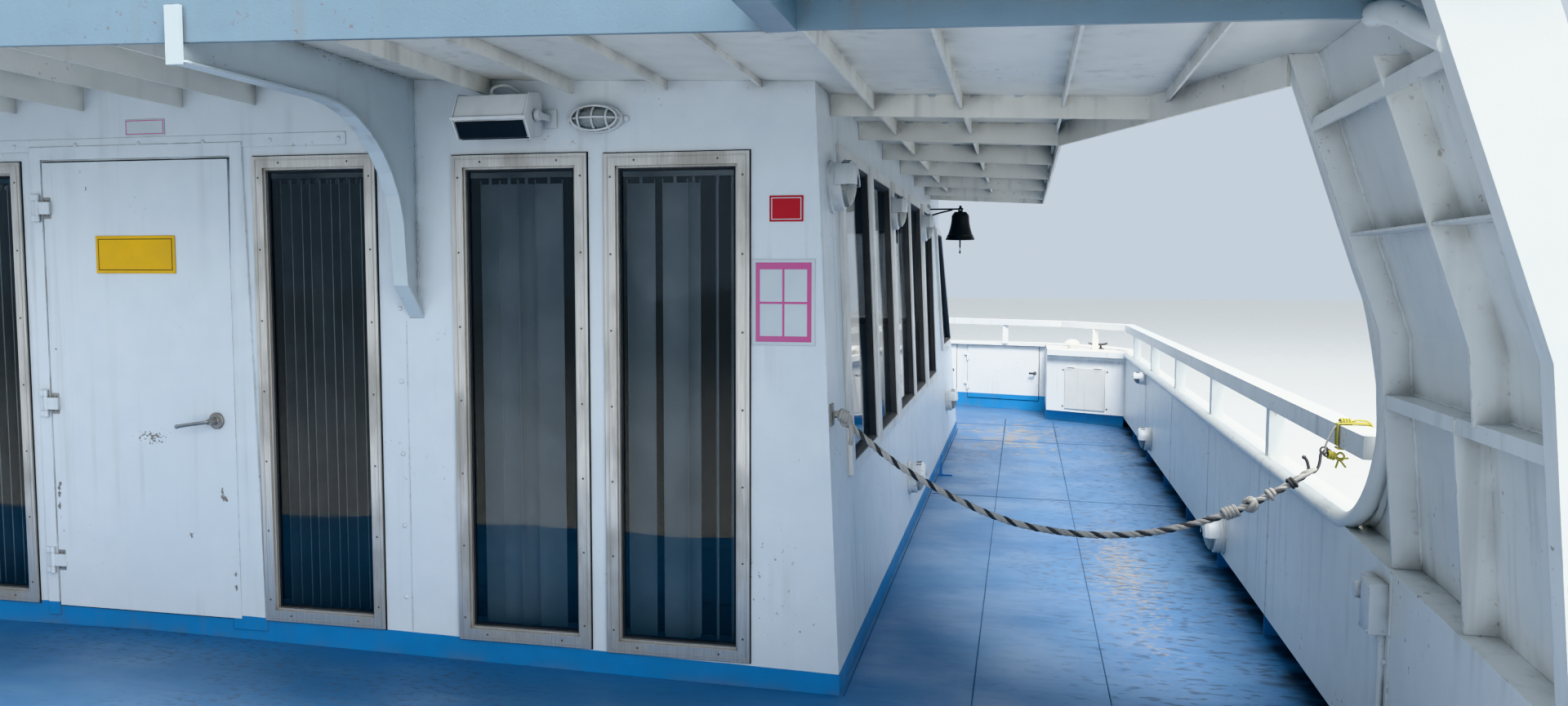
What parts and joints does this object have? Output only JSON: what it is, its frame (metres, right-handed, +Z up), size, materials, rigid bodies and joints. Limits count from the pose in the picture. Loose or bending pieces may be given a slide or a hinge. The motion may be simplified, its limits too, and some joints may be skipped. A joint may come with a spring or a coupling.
{
  "type": "passenger ferry deck section",
  "caption": "One tier of a passenger ferry: crowned deck, deckhouse with tall aft windows, overhead deck on knees and curved wings, bulwarks, bow cupboards and corner lockers.",
  "frame": {"origin": "centre of the footprint, on the undersides of the deck beams", "axes": "+X starboard, +Y towards the bow, +Z up"},
  "size_m": [9.7436, 12.3, 2.645],
  "materials": {
    "white_paint": "satin",
    "deck_paint": "worn",
    "aluminium": "brushed",
    "glass": "clear",
    "black_metal": "painted",
    "vinyl": "matt",
    "rope": "weathered",
    "galvanised": "dull"
  },
  "bodies": {
    "structure": {"main_deck": "deck_paint", "upper_deck": "white_paint", "knee_starboard": "white_paint", "knee_port": "white_paint", "house_wall_aft": "white_paint", "house_wall_starboard": "white_paint", "house_wall_port": "white_paint", "house_wall_front": "white_paint", "side_glazing_starboard": "glass", "side_glazing_port": "glass", "front_glazing": "glass", "aft_window_frame_starboard_1": "aluminium", "aft_window_frame_starboard_2": "aluminium", "aft_window_frame_starboard_3": "aluminium", "aft_window_frame_port_1": "aluminium", "aft_window_frame_port_2": "aluminium", "aft_window_frame_port_3": "aluminium", "aft_window_pane_starboard_1": "glass", "aft_window_pane_starboard_2": "glass", "aft_window_pane_starboard_3": "glass", "aft_window_pane_port_1": "glass", "aft_window_pane_port_2": "glass", "aft_window_pane_port_3": "glass", "blinds_starboard": "vinyl", "blinds_port": "vinyl", "bulwark_starboard": "white_paint", "bulwark_port": "white_paint", "rail_starboard": "white_paint", "rail_port": "white_paint", "bow_bulwark": "white_paint", "bow_rail": "white_paint", "locker_starboard": "white_paint", "locker_port": "white_paint", "wing_starboard": "white_paint", "wing_port": "white_paint", "floodlight_starboard": "white_paint", "floodlight_port": "white_paint", "cage_light_starboard": "galvanised", "cage_light_port": "galvanised", "bell_arm": "white_paint", "bell": "black_metal", "passage_rope": "rope", "rope_eye": "galvanised", "rope_hook": "galvanised"},
    "aft_door": {"aft_door": "white_paint", "aft_door_lever": "galvanised"},
    "bow_door_starboard_1": {"bow_door_starboard_1": "white_paint"},
    "bow_door_starboard_2": {"bow_door_starboard_2": "white_paint"},
    "bow_door_starboard_3": {"bow_door_starboard_3": "white_paint"},
    "bow_door_port_1": {"bow_door_port_1": "white_paint"},
    "bow_door_port_2": {"bow_door_port_2": "white_paint"},
    "bow_door_port_3": {"bow_door_port_3": "white_paint"},
    "locker_hatch_starboard": {"locker_hatch_starboard": "white_paint"},
    "locker_hatch_port": {"locker_hatch_port": "white_paint"},
    "bell_clapper": {"bell_clapper": "black_metal"}
  },
  "joints": [
    {"name": "aft_door_hinge", "type": "hinge", "parent": "structure", "child": "aft_door", "pos_m": [-0.47, -3.97, 1.16], "axis": [0, 0, -1], "range_deg": [0, 120]},
    {"name": "bow_door_starboard_1_hinge", "type": "hinge", "parent": "structure", "child": "bow_door_starboard_1", "pos_m": [1.0218, 5.7395, 0.58], "axis": [0, 0, -1], "range_deg": [0, 100]},
    {"name": "bow_door_starboard_2_hinge", "type": "hinge", "parent": "structure", "child": "bow_door_starboard_2", "pos_m": [1.9967, 5.6115, 0.58], "axis": [0, 0, -1], "range_deg": [0, 100]},
    {"name": "bow_door_starboard_3_hinge", "type": "hinge", "parent": "structure", "child": "bow_door_starboard_3", "pos_m": [2.9741, 5.4001, 0.58], "axis": [0, 0, -1], "range_deg": [0, 100]},
    {"name": "bow_door_port_1_hinge", "type": "hinge", "parent": "structure", "child": "bow_door_port_1", "pos_m": [-1.0218, 5.7395, 0.58], "axis": [0, 0, 1], "range_deg": [0, 100]},
    {"name": "bow_door_port_2_hinge", "type": "hinge", "parent": "structure", "child": "bow_door_port_2", "pos_m": [-1.9967, 5.6115, 0.58], "axis": [0, 0, 1], "range_deg": [0, 100]},
    {"name": "bow_door_port_3_hinge", "type": "hinge", "parent": "structure", "child": "bow_door_port_3", "pos_m": [-2.9741, 5.4001, 0.58], "axis": [0, 0, 1], "range_deg": [0, 100]},
    {"name": "locker_hatch_starboard_hinge", "type": "hinge", "parent": "structure", "child": "locker_hatch_starboard", "pos_m": [4.2662, 4.1704, 0.7435], "axis": [-0.8874, 0.461, 0], "range_deg": [0, 90]},
    {"name": "locker_hatch_port_hinge", "type": "hinge", "parent": "structure", "child": "locker_hatch_port", "pos_m": [-4.2662, 4.1704, 0.7435], "axis": [-0.8874, -0.461, 0], "range_deg": [0, 90]},
    {"name": "bell_clapper_hinge", "type": "hinge", "parent": "structure", "child": "bell_clapper", "pos_m": [3.125, 0.8, 2.17], "axis": [0, 1, 0], "range_deg": [-15, 15]}
  ]
}
